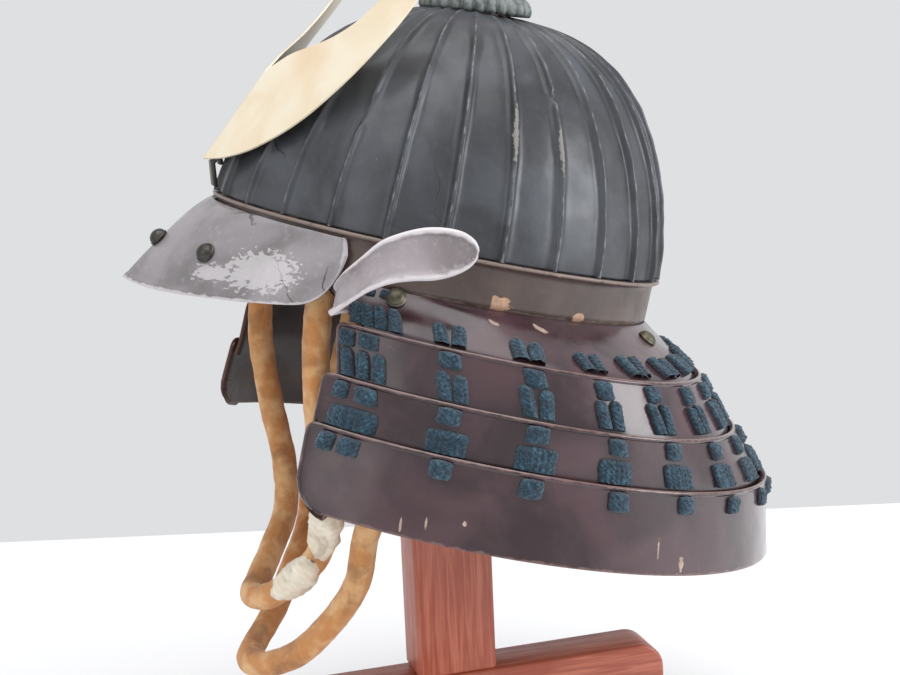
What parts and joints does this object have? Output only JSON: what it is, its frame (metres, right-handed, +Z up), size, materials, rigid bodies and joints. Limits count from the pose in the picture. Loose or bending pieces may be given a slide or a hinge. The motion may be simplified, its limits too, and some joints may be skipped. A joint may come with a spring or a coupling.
{
  "type": "kabuto samurai helmet on a wooden stand",
  "caption": "Ridged samurai helmet with a flared neck guard laced in rows, turned-back ear leaves, crescent crest, peak, crown fitting and chin cord, resting on a plain wooden stand.",
  "frame": {"origin": "on the floor under the middle of the whole, stand included, chin cord left out", "axes": "+Z up, -Y towards the helmet's front, +X towards the wearer's left"},
  "size_m": [0.3018, 0.325, 0.4492],
  "materials": {
    "black_lacquer": "worn black lacquer over iron, satin",
    "brown_lacquer": "worn purplish brown lacquer over iron, satin",
    "grey_lacquer": "flaking silver-grey lacquer over iron, satin",
    "band_lacquer": "rubbed brown-grey lacquer, dull",
    "iron": "blackened iron, rubbed",
    "gilt": "pale gilding on thin copper, satin",
    "patina": "grey-green patina on copper alloy",
    "copper": "browned copper, brushed",
    "braid": "indigo silk braid",
    "cord_cloth": "worn orange-tan cloth tube over a cotton core",
    "wood": "red-brown stained wood, satin"
  },
  "bodies": {
    "root": {"bowl": "black_lacquer", "waist_band": "band_lacquer", "visor": "grey_lacquer", "crest": "gilt", "crest_bracket": "iron", "visor_rivet_left": "iron", "visor_rivet_centre": "iron", "visor_rivet_right": "iron", "lame_1": "brown_lacquer", "lame_2": "brown_lacquer", "lame_3": "brown_lacquer", "lame_4": "brown_lacquer", "finial_collar": "patina", "finial_tube": "copper", "lacing_left_front": "braid", "lacing_left_1": "braid", "lacing_left_2": "braid", "lacing_left_3": "braid", "lacing_left_4": "braid", "lacing_left_5": "braid", "lacing_left_6": "braid", "lacing_left_7": "braid", "lacing_left_8": "braid", "row_rivet_left_front": "iron", "row_rivet_left_rear": "iron", "lacing_right_front": "braid", "lacing_right_1": "braid", "lacing_right_2": "braid", "lacing_right_3": "braid", "lacing_right_4": "braid", "lacing_right_5": "braid", "lacing_right_6": "braid", "lacing_right_7": "braid", "lacing_right_8": "braid", "row_rivet_right_front": "iron", "row_rivet_right_rear": "iron", "chin_cord": "cord_cloth", "cord_ring_left": "iron", "cord_ring_right": "iron", "stand_board": "wood", "stand_plank": "wood", "stand_post": "wood", "crown_rest": "wood"}
  },
  "joints": []
}
